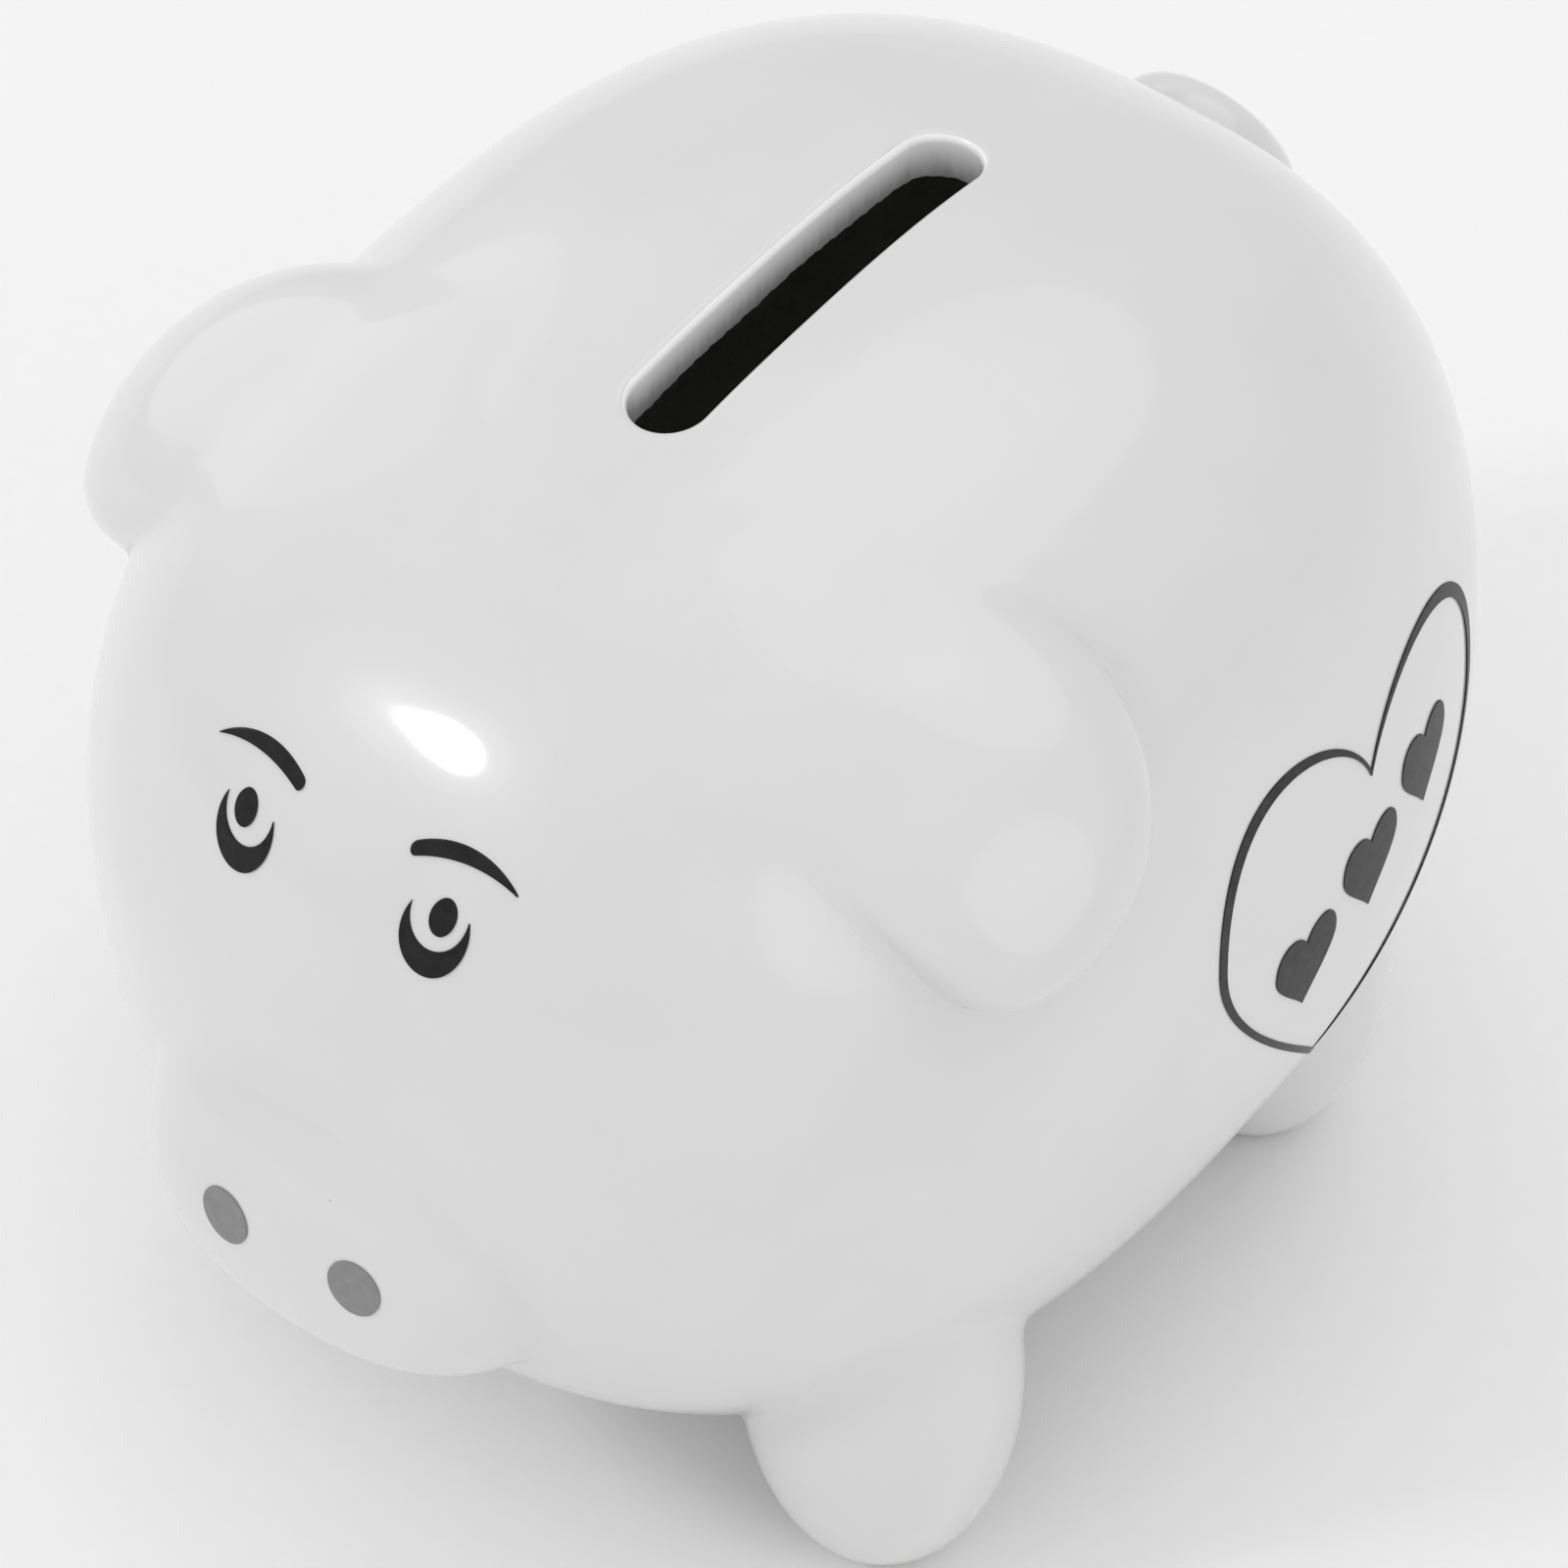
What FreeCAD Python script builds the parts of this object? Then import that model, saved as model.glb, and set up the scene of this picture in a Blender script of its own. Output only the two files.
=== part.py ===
"""Coin bank in the shape of a pig: a hollow glazed ceramic body with luted-on pieces, printed
transfers and a rubber stopper under the belly.

Millimetres.  The pig faces -Y, its left side is +X and +Z is up.  The origin is on the table,
under the middle of the whole bank.  The barrel of the body is a superellipsoid,
|x/a|^p + |y/l|^p + |z/b|^p = 1, whose rear is raised by a small pitch about X.
"""
import FreeCAD, Part
import math
import os

PARTS_FOLDER = "parts"
X_AXIS = FreeCAD.Vector(1, 0, 0)
Y_AXIS = FreeCAD.Vector(0, 1, 0)
Z_AXIS = FreeCAD.Vector(0, 0, 1)

DIMENSIONS = {
    # body casting
    "body_half_width": 52.0,
    "body_half_length": 63.9,
    "body_half_height": 50.1,
    "body_power": 2.5,
    "body_pitch": 4.2,
    "body_y": 1.6,
    "body_z": 56.8,
    "wall": 5.0,
    # coin slot
    "slot_x": 2.0,
    "slot_back": 1.2,
    "slot_length": 43.5,
    "slot_width": 7.2,
    # filling hole under the belly
    "hole_radius": 15.5,
    "seat_radius": 19.6,
    "seat_level": 48.3,
    # rubber stopper
    "bung_clearance": 0.05,
    "bung_taper": 0.9,
    "bung_depth": 8.0,
    "bung_wall": 2.2,
    "flange_radius": 18.9,
    "flange_thickness": 1.7,
    # snout
    "snout_x": -1.3,
    "snout_ahead": 48.8,
    "snout_z": 43.1,
    "snout_half_width": 22.6,
    "snout_half_height": 16.3,
    "snout_half_length": 20.2,
    "snout_section_power": 2.3,
    "snout_profile_power": 3.0,
    "snout_lean": -4.0,
    # ears
    "ear_x": 28.9,
    "ear_ahead": 28.7,
    "ear_z": 86.0,
    "ear_tilt": 32.9,
    "ear_turn": -61.1,
    "ear_spin": 73.9,
    "ear_long_radius": 26.0,
    "ear_short_radius": 21.2,
    "ear_half_thickness": 9.3,
    "ear_front_x": 39.8,
    "ear_front_ahead": 38.9,
    "ear_front_z": 81.3,
    "ear_front_turn": 2.5,
    "ear_front_tip": 25.5,
    # legs
    "front_leg_x": 34.1,
    "front_leg_back": -31.9,
    "rear_leg_x": 29.5,
    "rear_leg_back": 30.1,
    "leg_radius": 12.5,
    "leg_half_height": 22.0,
    "leg_centre_z": 20.4,
    # tail
    "tail_z": 80.0,
    "tail_back": 60.3,
    "tail_lean": 68.0,
    "tail_ring_radius": 6.0,
    "tail_radius": 3.4,
    # printed transfers
    "ink": 0.15,
    "eye_x": 10.25,
    "rim_z": 80.89,
    "rim_half_width": 3.16,
    "rim_half_height": 3.44,
    "rim_hollow_z": 82.5,
    "rim_hollow_half_width": 2.75,
    "rim_hollow_half_height": 2.95,
    "pupil_x": 10.65,
    "pupil_z": 82.3,
    "pupil_half_width": 1.2,
    "pupil_half_height": 1.42,
    "brow_inner_x": 6.3,
    "brow_inner_z": 86.0,
    "brow_outer_x": 16.1,
    "brow_outer_z": 85.4,
    "brow_crown_x": 11.1,
    "brow_crown_z": 87.35,
    "brow_width": 0.98,
    "nostril_x": 7.1,
    "nostril_z": 44.8,
    "nostril_half_width": 2.6,
    "nostril_half_height": 2.9,
    "heart_back": 15.2,
    "heart_z": 51.0,
    "heart_size": 45.5,
    "heart_line": 1.0,
    "small_heart_size": 9.0,
    "small_heart_step": 10.0,
    "small_heart_rise": 4.0,
}


def make_sheet(doc):
    sheet = doc.addObject("Spreadsheet::Sheet", "dimensions")
    for row, (name, value) in enumerate(DIMENSIONS.items(), start=1):
        sheet.set(f"A{row}", name)
        sheet.set(f"B{row}", str(value))
        sheet.setAlias(f"B{row}", name)
    doc.recompute()
    return sheet


def bind(item, **expressions):
    """Bind properties of an object to cells; __ in a name stands for a dot in the property path."""
    for name, expression in expressions.items():
        item.setExpression(name.replace("__", "."), expression)


def add(doc, kind, label, **expressions):
    item = doc.addObject(kind, label)
    item.Label = label
    bind(item, **expressions)
    return item


def boolean(doc, kind, label, first, second):
    item = add(doc, kind, label)
    item.Base = first
    item.Tool = second
    return item


def join(doc, label, pieces):
    item = add(doc, "Part::MultiFuse", label)
    item.Shapes = pieces
    return item


def mirrored(doc, label, source):
    item = add(doc, "Part::Mirroring", label)
    item.Source = source
    item.Normal = X_AXIS
    return item


def superellipsoid(half_x, half_y, half_z, section_power, profile_power, seam):
    """A loft along Y through superellipse sections, closed by a pin-head flat at each end.

    The section power rounds its outline across X and Z, the profile power its length along Y.

    The seam angle, from +X towards +Z, keeps the loft's seam away from what is printed on it.
    """
    stations = 19
    corners = 40
    last_angle = math.radians(88.4)

    def signed_power(value, power):
        return math.copysign(abs(value) ** (2.0 / power), value)

    wires = []
    for station in range(stations):
        angle = last_angle * (2.0 * station / (stations - 1) - 1.0)
        y = half_y * signed_power(math.sin(angle), profile_power)
        shrink = signed_power(math.cos(angle), profile_power)
        points = []
        for corner in range(corners):
            turn = seam + 2.0 * math.pi * corner / corners
            points.append(FreeCAD.Vector(half_x * shrink * signed_power(math.cos(turn), section_power), y,
                                         half_z * shrink * signed_power(math.sin(turn), section_power)))
        curve = Part.BSplineCurve()
        curve.interpolate(points, PeriodicFlag=True)
        wires.append(Part.Wire([curve.toShape()]))
    return Part.makeLoft(wires, True, False)


def barrel(doc, sheet, label, growth):
    """The body's outer form, larger or smaller all round by the given growth."""
    item = add(doc, "Part::Feature", label)
    item.Shape = superellipsoid(sheet.body_half_width + growth, sheet.body_half_length + growth,
                                sheet.body_half_height + growth, sheet.body_power,
                                sheet.body_power, math.pi)
    item.Placement = FreeCAD.Placement(FreeCAD.Vector(0, sheet.body_y, sheet.body_z),
                                       FreeCAD.Rotation(X_AXIS, sheet.body_pitch))
    return item


def belly_cylinder(doc, label, radius, top, bottom):
    """A cylinder on the body's own vertical axis; top and bottom are depths below its centre."""
    item = add(doc, "Part::Cylinder", label, Radius=radius, Height=f"({bottom}) - ({top})")
    place_on_belly(item, bottom)
    return item


def place_on_belly(item, depth):
    item.Placement = FreeCAD.Placement(FreeCAD.Vector(), FreeCAD.Rotation(X_AXIS, 1))
    bind(item, Placement__Rotation__Angle="dimensions.body_pitch * 1 deg",
         Placement__Base__y=f"dimensions.body_y + ({depth}) * sin(dimensions.body_pitch * 1 deg)",
         Placement__Base__z=f"dimensions.body_z - ({depth}) * cos(dimensions.body_pitch * 1 deg)")


def make_slot(doc):
    """Stadium-shaped cutter for the coin slot, straight up through the top of the body."""
    level = "dimensions.body_z"
    reach = "dimensions.body_half_height * 1.3"
    middle = "dimensions.body_y + dimensions.slot_back"
    straight = "(dimensions.slot_length - dimensions.slot_width)"
    bar = add(doc, "Part::Box", "slot_bar", Length="dimensions.slot_width", Width=straight, Height=reach,
              Placement__Base__x="dimensions.slot_x - dimensions.slot_width / 2",
              Placement__Base__y=f"{middle} - {straight} / 2", Placement__Base__z=level)
    pieces = [bar]
    for label, sign in (("slot_front_end", "-"), ("slot_rear_end", "+")):
        pieces.append(add(doc, "Part::Cylinder", label, Radius="dimensions.slot_width / 2",
                          Height=reach, Placement__Base__x="dimensions.slot_x",
                          Placement__Base__y=f"{middle} {sign} {straight} / 2",
                          Placement__Base__z=level))
    return join(doc, "slot_cutter", pieces)


def make_body(doc, outer, cavity):
    slot = make_slot(doc)
    hole = belly_cylinder(doc, "hole_cutter", "dimensions.hole_radius",
                          "dimensions.body_half_height * 0.7", "dimensions.body_half_height * 1.2")
    seat = belly_cylinder(doc, "seat_cutter", "dimensions.seat_radius",
                          "dimensions.seat_level", "dimensions.body_half_height * 1.2")
    cutters = join(doc, "body_cutters", [cavity, slot, hole, seat])
    return boolean(doc, "Part::Cut", "body_shell", outer, cutters)


def make_stopper(doc):
    """One rubber moulding: a hollow tapered bung, a flange that fills the seat and a finger tab."""
    mouth = "dimensions.hole_radius - dimensions.bung_clearance"
    seat = "dimensions.seat_level"
    bung = add(doc, "Part::Cone", "bung_outside", Radius1=mouth,
               Radius2=f"{mouth} - dimensions.bung_taper", Height="dimensions.bung_depth")
    place_on_belly(bung, seat)
    hollow = add(doc, "Part::Cone", "bung_hollow", Radius1=f"{mouth} - dimensions.bung_wall",
                 Radius2=f"{mouth} - dimensions.bung_taper - dimensions.bung_wall",
                 Height="dimensions.bung_depth")
    place_on_belly(hollow, f"{seat} - dimensions.bung_wall / 2")
    flange = belly_cylinder(doc, "flange_disc", "dimensions.flange_radius", seat,
                            f"{seat} + dimensions.flange_thickness")
    plug = join(doc, "bung_and_flange", [bung, flange])
    return boolean(doc, "Part::Cut", "belly_stopper", plug, hollow)


def make_snout_form(doc, sheet, label, growth):
    item = add(doc, "Part::Feature", label)
    item.Shape = superellipsoid(sheet.snout_half_width + growth, sheet.snout_half_length + growth,
                                sheet.snout_half_height + growth, sheet.snout_section_power,
                                sheet.snout_profile_power, -math.pi / 2)
    centre = FreeCAD.Vector(sheet.snout_x, sheet.body_y - sheet.snout_ahead, sheet.snout_z)
    item.Placement = FreeCAD.Placement(centre, FreeCAD.Rotation(X_AXIS, sheet.snout_lean))
    return item


def make_ear(doc, sheet, outer):
    """A thick oval flap that leans out from the side of the head, with a flat cut along its front.

    The oval is turned about its own thin axis, tilted outwards and then turned to face forwards.
    """
    oval = add(doc, "Part::Ellipsoid", "ear_oval", Radius1="dimensions.ear_half_thickness",
               Radius2="dimensions.ear_long_radius", Radius3="dimensions.ear_short_radius")
    lie = (FreeCAD.Rotation(Z_AXIS, sheet.ear_turn) * FreeCAD.Rotation(Y_AXIS, sheet.ear_tilt)
           * FreeCAD.Rotation(Z_AXIS, sheet.ear_spin))
    oval.Placement = FreeCAD.Placement(FreeCAD.Vector(), lie)
    bind(oval, Placement__Base__x="dimensions.ear_x",
         Placement__Base__y="dimensions.body_y - dimensions.ear_ahead",
         Placement__Base__z="dimensions.ear_z")
    front = add(doc, "Part::Box", "ear_front_cutter", Length="dimensions.ear_long_radius * 4",
                Width="dimensions.ear_long_radius * 2", Height="dimensions.ear_long_radius * 4")
    facing = (FreeCAD.Rotation(Z_AXIS, -sheet.ear_front_turn)
              * FreeCAD.Rotation(X_AXIS, sheet.ear_front_tip))
    middle = FreeCAD.Vector(-2 * sheet.ear_long_radius, -2 * sheet.ear_long_radius,
                            -2 * sheet.ear_long_radius)
    edge = FreeCAD.Vector(sheet.ear_front_x, sheet.body_y - sheet.ear_front_ahead,
                          sheet.ear_front_z)
    front.Placement = FreeCAD.Placement(edge + facing.multVec(middle), facing)
    cutters = join(doc, "ear_cutters", [front, outer])
    left = boolean(doc, "Part::Cut", "ear_left", oval, cutters)
    return [left, mirrored(doc, "ear_right", left)]


def make_legs(doc, outer):
    floor = add(doc, "Part::Box", "table_cutter", Length="dimensions.body_half_width * 3",
                Width="dimensions.body_half_length * 3", Height="dimensions.leg_half_height",
                Placement__Base__x="dimensions.body_half_width * -1.5",
                Placement__Base__y="dimensions.body_half_length * -1.5",
                Placement__Base__z="0 - dimensions.leg_half_height")
    cutters = join(doc, "leg_cutters", [outer, floor])
    legs = []
    for end in ("front", "rear"):
        form = add(doc, "Part::Ellipsoid", f"{end}_leg_form", Radius1="dimensions.leg_half_height",
                   Radius2="dimensions.leg_radius", Radius3="dimensions.leg_radius",
                   Placement__Base__x=f"dimensions.{end}_leg_x",
                   Placement__Base__y=f"dimensions.body_y + dimensions.{end}_leg_back",
                   Placement__Base__z="dimensions.leg_centre_z")
        left = boolean(doc, "Part::Cut", f"leg_{end}_left", form, cutters)
        legs += [left, mirrored(doc, f"leg_{end}_right", left)]
    return legs


def make_tail(doc, outer):
    """A curl of clay pressed flat against the rump: the half of a ring that stands proud."""
    ring = add(doc, "Part::Torus", "tail_ring", Radius1="dimensions.tail_ring_radius",
               Radius2="dimensions.tail_radius")
    ring.Placement = FreeCAD.Placement(FreeCAD.Vector(), FreeCAD.Rotation(X_AXIS, -1))
    bind(ring, Placement__Rotation__Angle="dimensions.tail_lean * 1 deg",
         Placement__Base__y="dimensions.body_y + dimensions.tail_back",
         Placement__Base__z="dimensions.tail_z")
    return boolean(doc, "Part::Cut", "tail", ring, outer)


def ink_layer(doc, label, prism, surface, inked_surface):
    """A printed transfer: the part of the prism that lies between a surface and the ink's top."""
    under = boolean(doc, "Part::Cut", f"{label}_prism", prism, surface)
    item = add(doc, "Part::Common", label)
    item.Base = under
    item.Tool = inked_surface
    return item


def flat_prism(doc, label, wire, direction):
    """A prism from an outline drawn in a vertical plane, long enough to pass into the body."""
    item = add(doc, "Part::Feature", label)
    item.Shape = Part.Face(wire).extrude(direction)
    return item


def ellipse_wire(x, z, half_width, half_height, start_y):
    """An upright ellipse in a plane of constant y."""
    centre = FreeCAD.Vector(x, start_y, z)
    if half_height > half_width:
        frame = (centre + FreeCAD.Vector(0, 0, half_height), centre + FreeCAD.Vector(half_width, 0, 0))
    else:
        frame = (centre + FreeCAD.Vector(half_width, 0, 0), centre + FreeCAD.Vector(0, 0, half_height))
    return Part.Wire([Part.Ellipse(*frame, centre).toShape()])


def brow_wire(sheet, start_y):
    """A brow: two arcs that meet in a point at the outer end, closed by a round inner end."""
    def place(across, up):
        return FreeCAD.Vector(across, start_y, up)

    half = sheet.brow_width / 2
    rise = sheet.brow_crown_z - half - (sheet.brow_inner_z + sheet.brow_outer_z) / 2
    slope = math.atan2(4 * rise, sheet.brow_outer_x - sheet.brow_inner_x)
    along, up = half * math.cos(slope), half * math.sin(slope)
    outer_tip = place(sheet.brow_outer_x, sheet.brow_outer_z)
    upper = place(sheet.brow_inner_x - up, sheet.brow_inner_z + along)
    nose = place(sheet.brow_inner_x - along, sheet.brow_inner_z - up)
    lower = place(sheet.brow_inner_x + up, sheet.brow_inner_z - along)
    crown = place(sheet.brow_crown_x, sheet.brow_crown_z)
    belly = place(sheet.brow_crown_x, sheet.brow_crown_z - sheet.brow_width)
    edges = [Part.Arc(upper, nose, lower).toShape(), Part.Arc(lower, belly, outer_tip).toShape(),
             Part.Arc(outer_tip, crown, upper).toShape()]
    return Part.Wire(edges)


def heart_wire(centre_y, centre_z, size, start_x):
    """An upright heart in a plane of constant x: two round lobes and two long curves to the tip."""
    def place(across, up):
        return FreeCAD.Vector(start_x, centre_y + across * size, centre_z + up * size)

    tip = place(0.0, -0.5)
    notch = place(0.0, 0.34)
    edges = []
    for side in (-1, 1):
        shoulder = place(side * 0.5, 0.2)
        lobe = Part.BezierCurve()
        lobe.setPoles([notch, place(side * 0.1, 0.58), place(side * 0.5, 0.62), shoulder])
        flank = Part.BezierCurve()
        flank.setPoles([shoulder, place(side * 0.5, -0.02), place(side * 0.18, -0.25), tip])
        edges += [lobe.toShape(), flank.toShape()]
    return Part.Wire(Part.__sortEdges__(edges))


def make_face(doc, sheet, outer, inked):
    """Brows, crescent eye rims and pupils, printed on the front of the body."""
    start_y = sheet.body_y - sheet.body_half_length * 1.2
    inwards = Y_AXIS * sheet.body_half_length
    pieces = []
    rim_wire = ellipse_wire(sheet.eye_x, sheet.rim_z, sheet.rim_half_width, sheet.rim_half_height,
                            start_y)
    hollow_wire = ellipse_wire(sheet.eye_x, sheet.rim_hollow_z, sheet.rim_hollow_half_width,
                               sheet.rim_hollow_half_height, start_y)
    pupil_wire = ellipse_wire(sheet.pupil_x, sheet.pupil_z, sheet.pupil_half_width,
                              sheet.pupil_half_height, start_y)
    crescent = boolean(doc, "Part::Cut", "rim_crescent", flat_prism(doc, "rim_prism", rim_wire, inwards),
                       flat_prism(doc, "rim_hollow", hollow_wire, inwards))
    pupil = flat_prism(doc, "pupil_form", pupil_wire, inwards)
    brow = flat_prism(doc, "brow_form", brow_wire(sheet, start_y), inwards)
    for label, prism in (("eye_rim", crescent), ("pupil", pupil), ("brow", brow)):
        left = ink_layer(doc, f"{label}_left", prism, outer, inked)
        pieces += [left, mirrored(doc, f"{label}_right", left)]
    return pieces


def make_nostrils(doc, sheet, form, inked_form):
    start_y = sheet.body_y - sheet.snout_ahead - sheet.snout_half_length * 1.2
    pieces = []
    for label, side in (("nostril_left", 1), ("nostril_right", -1)):
        wire = ellipse_wire(side * sheet.nostril_x, sheet.nostril_z, sheet.nostril_half_width,
                            sheet.nostril_half_height, start_y)
        prism = flat_prism(doc, f"{label}_form", wire, Y_AXIS * sheet.snout_half_length)
        pieces.append(ink_layer(doc, label, prism, form, inked_form))
    return pieces


def make_flank(doc, sheet, outer, inked):
    """The heart line on the left flank, with a rising row of three small plain hearts inside it."""
    start_x = sheet.body_half_width * 1.2
    inwards = X_AXIS * -sheet.body_half_width
    place = (sheet.body_y + sheet.heart_back, sheet.heart_z)
    outside = flat_prism(doc, "heart_outside", heart_wire(*place, sheet.heart_size, start_x), inwards)
    inside = flat_prism(doc, "heart_inside",
                        heart_wire(*place, sheet.heart_size - 2 * sheet.heart_line, start_x), inwards)
    patch = ink_layer(doc, "heart_patch", outside, outer, inked)
    outline = boolean(doc, "Part::Cut", "heart_outline", patch, inside)
    hearts = []
    for index in (-1, 0, 1):
        wire = heart_wire(place[0] + index * sheet.small_heart_step,
                          sheet.heart_z + (index + 1) * sheet.small_heart_rise,
                          sheet.small_heart_size, start_x)
        hearts.append(flat_prism(doc, f"small_heart_form_{index + 2}", wire, inwards))
    group = join(doc, "small_heart_forms", hearts)
    return [outline, ink_layer(doc, "small_hearts", group, outer, inked)]


def check(doc, pieces):
    for item in doc.Objects:
        if "Invalid" in item.State or "Error" in item.State:
            raise RuntimeError(f"{item.Label}: {item.State}")
    for item in pieces:
        if item.Shape.isNull() or not item.Shape.isValid() or not item.Shape.Solids:
            raise RuntimeError(f"{item.Label} has no valid solid")


def main():
    doc = FreeCAD.newDocument("pig_bank")
    sheet = make_sheet(doc)
    outer = barrel(doc, sheet, "outer_form", 0.0)
    inked = barrel(doc, sheet, "inked_form", sheet.ink)
    cavity = barrel(doc, sheet, "cavity_form", -sheet.wall)
    snout_form = make_snout_form(doc, sheet, "snout_form", 0.0)
    inked_snout = make_snout_form(doc, sheet, "inked_snout_form", sheet.ink)
    pieces = [make_body(doc, outer, cavity), make_stopper(doc),
              boolean(doc, "Part::Cut", "snout", snout_form, outer)]
    pieces += make_ear(doc, sheet, outer)
    pieces += make_legs(doc, outer)
    pieces.append(make_tail(doc, outer))
    pieces += make_face(doc, sheet, outer, inked)
    pieces += make_nostrils(doc, sheet, snout_form, inked_snout)
    pieces += make_flank(doc, sheet, outer, inked)
    doc.recompute()
    check(doc, pieces)
    os.makedirs(PARTS_FOLDER, exist_ok=True)
    for item in pieces:
        item.Shape.exportStep(os.path.join(PARTS_FOLDER, f"{item.Label}.step"))
        print(item.Label, len(item.Shape.Solids), round(item.Shape.Volume, 2))


main()
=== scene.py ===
"""Pig-shaped coin bank: glazed ceramic surface, printed transfers and rubber stopper, built around
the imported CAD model.

Shapes are worked out in millimetres and written to meshes in metres.  The pig faces -Y, its left
side is +X.  The skin is the zero level of a distance-like field: the superellipsoid of the body,
joined to each luted-on piece by a fillet.  Each piece is meshed on its own: it is solid down to
just under the body's skin, and its edge sinks through the skin where the fillet runs out.
"""
import bpy
import math
from itertools import product
from mathutils import Matrix, Vector
import numpy as np


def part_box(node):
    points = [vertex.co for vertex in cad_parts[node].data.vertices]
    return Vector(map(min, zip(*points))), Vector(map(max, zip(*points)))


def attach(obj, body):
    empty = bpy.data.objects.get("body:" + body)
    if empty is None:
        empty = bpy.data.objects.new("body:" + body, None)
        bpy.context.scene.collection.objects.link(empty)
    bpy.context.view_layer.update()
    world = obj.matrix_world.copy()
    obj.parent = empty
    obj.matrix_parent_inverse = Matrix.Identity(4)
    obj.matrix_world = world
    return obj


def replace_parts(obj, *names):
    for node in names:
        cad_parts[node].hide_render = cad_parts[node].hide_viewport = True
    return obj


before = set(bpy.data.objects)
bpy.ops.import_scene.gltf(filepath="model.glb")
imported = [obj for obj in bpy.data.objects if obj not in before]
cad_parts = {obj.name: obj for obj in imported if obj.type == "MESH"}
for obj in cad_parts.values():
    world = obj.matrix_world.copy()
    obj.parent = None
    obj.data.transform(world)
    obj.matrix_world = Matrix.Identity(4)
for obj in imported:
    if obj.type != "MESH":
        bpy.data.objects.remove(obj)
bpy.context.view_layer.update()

MM = 0.001
BANK = "bank"
MIRROR = np.array([-1.0, 1.0, 1.0])
FINE = 0.5

# ---------------------------------------------------------------- sizes, mm

shell_low, shell_high = (np.array(corner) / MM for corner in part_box("body_shell"))
CENTRE = np.array([0.0, (shell_low[1] + shell_high[1]) / 2.0, 56.8])
BODY_RADII = np.array([52.0, 63.9, 50.1])
BODY_POWER = 2.5
PITCH = 4.2
WALL = 5.0

SLOT_X, SLOT_BACK = 2.0, 1.2
SLOT_LENGTH, SLOT_WIDTH = 43.5, 7.2
SLOT_RIM = 1.0
LIP_GROW, LIP_LEVEL, LIP_RAGGED = 0.05, 0.6, 0.14
SLOT_FLARE = 0.7
HOLE_RADIUS, SEAT_RADIUS, SEAT_LEVEL = 15.5, 19.6, 48.3
SEAT_EDGE, SEAT_DRAFT, HOLE_EDGE, INSIDE_EDGE = 0.2, 0.03, 0.4, 0.5

EAR_CENTRE = CENTRE + [28.9, -28.7, 29.2]
EAR_RADII = np.array([26.0, 21.2, 10.4])
EAR_TURN, EAR_TILT, EAR_SPIN = -61.1, 32.9, 73.9
EAR_FRONT_POINT = CENTRE + [39.8, -38.3, 24.8]
EAR_FRONT_NORMAL = np.array([-0.04, -0.90, -0.43])
EAR_FRONT_ROUND = 7.0
EAR_TO_CROWN = np.array([-0.70, -0.45, 0.55])
EAR_TIGHT, EAR_WIDE = 1.6, 7.0

SNOUT_CENTRE = CENTRE + [-1.3, -48.8, -13.7]
SNOUT_RADII = np.array([22.6, 20.2, 16.3])
SNOUT_LEAN = -4.0
SNOUT_SECTION, SNOUT_PROFILE = 2.3, 3.0
SNOUT_TIGHT, SNOUT_WIDE = 1.8, 3.4

LEG_RADII = np.array([12.5, 12.5, 22.0])
FRONT_LEG = np.array([34.1, -31.9, -36.4])
REAR_LEG = np.array([29.5, 30.1, -36.4])
LEG_FILLET = 2.5
LEG_REACH, LEG_TOP = 21.0, 40.0
FOOT_ROUND = 1.2

TAIL_CENTRE = CENTRE + [0.0, 60.3, 23.2]
TAIL_LEAN = -68.0
TAIL_RING, TAIL_THICKNESS, TAIL_FILLET = 6.0, 3.4, 2.2


# ---------------------------------------------------------------- fields

def turned(axis, degrees):
    """Rotation matrix about one axis."""
    angle = math.radians(degrees)
    c, s = math.cos(angle), math.sin(angle)
    rows = {"x": [[1, 0, 0], [0, c, -s], [0, s, c]],
            "y": [[c, 0, s], [0, 1, 0], [-s, 0, c]],
            "z": [[c, -s, 0], [s, c, 0], [0, 0, 1]]}
    return np.array(rows[axis])


def length(vectors):
    return np.sqrt((vectors * vectors).sum(-1))


def ease(value, low, high):
    """0 below low, 1 above high, smooth between."""
    part = np.clip((value - low) / (high - low), 0.0, 1.0)
    return part * part * (3.0 - 2.0 * part)


def smooth_min(first, second, width):
    """The smaller of two fields, with a fillet of the given width where they meet."""
    overlap = np.maximum(width - np.abs(first - second), 0.0) / width
    return np.minimum(first, second) - overlap ** 3 * width / 6.0


def smooth_max(first, second, width):
    return -smooth_min(-first, -second, width)


def egg(points, radii, section, profile):
    """Superellipsoid field: section is the power across X and Z, profile the power along Y."""
    x, y, z = np.moveaxis(np.abs(points) / radii, -1, 0)
    across = np.maximum((x ** section + z ** section) ** (1.0 / section), 1e-4)
    level = np.maximum((across ** profile + y ** profile) ** (1.0 / profile), 1e-4)
    outward = (across / level) ** (profile - 1.0)
    thin = outward * across ** (1.0 - section)
    slope = np.stack([thin * x ** (section - 1.0) / radii[0],
                      (y / level) ** (profile - 1.0) / radii[1],
                      thin * z ** (section - 1.0) / radii[2]], -1)
    return (level - 1.0) / np.maximum(length(slope), 1e-4)


PITCHED = turned("x", PITCH)


def to_body(points):
    return (points - CENTRE) @ PITCHED


def from_body(points):
    return points @ PITCHED.T + CENTRE


def body_field(points):
    return egg(to_body(points), BODY_RADII, BODY_POWER, BODY_POWER)


EAR_FRAME = turned("z", EAR_TURN) @ turned("y", EAR_TILT) @ turned("z", EAR_SPIN)
SNOUT_FRAME = turned("x", SNOUT_LEAN)
TAIL_FRAME = turned("x", TAIL_LEAN)


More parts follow.
